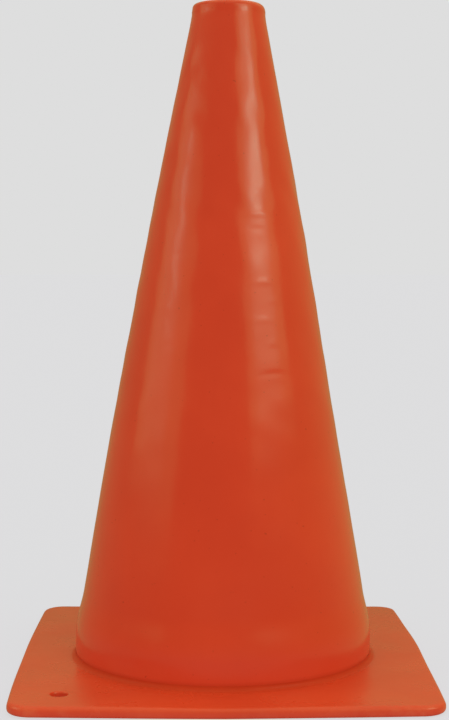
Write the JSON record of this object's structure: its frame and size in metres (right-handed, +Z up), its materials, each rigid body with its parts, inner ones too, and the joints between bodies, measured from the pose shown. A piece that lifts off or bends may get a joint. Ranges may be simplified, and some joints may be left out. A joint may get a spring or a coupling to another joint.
{
  "type": "traffic cone",
  "caption": "Hollow tapered traffic cone with an open mouth, snapped into a flat square base with rounded corners and a hanging hole in one corner.",
  "frame": {"origin": "on the ground, under the centre of the square base, on the cone's axis", "axes": "+Z up along the cone's axis; +X and +Y square to the base's sides; the hanging hole is in the corner towards -X and -Y"},
  "size_m": [0.279, 0.279, 0.457],
  "materials": {
    "body_vinyl": "satin",
    "base_vinyl": "satin"
  },
  "bodies": {
    "root": {"cone_body": "body_vinyl", "base_plate": "base_vinyl"}
  },
  "joints": []
}
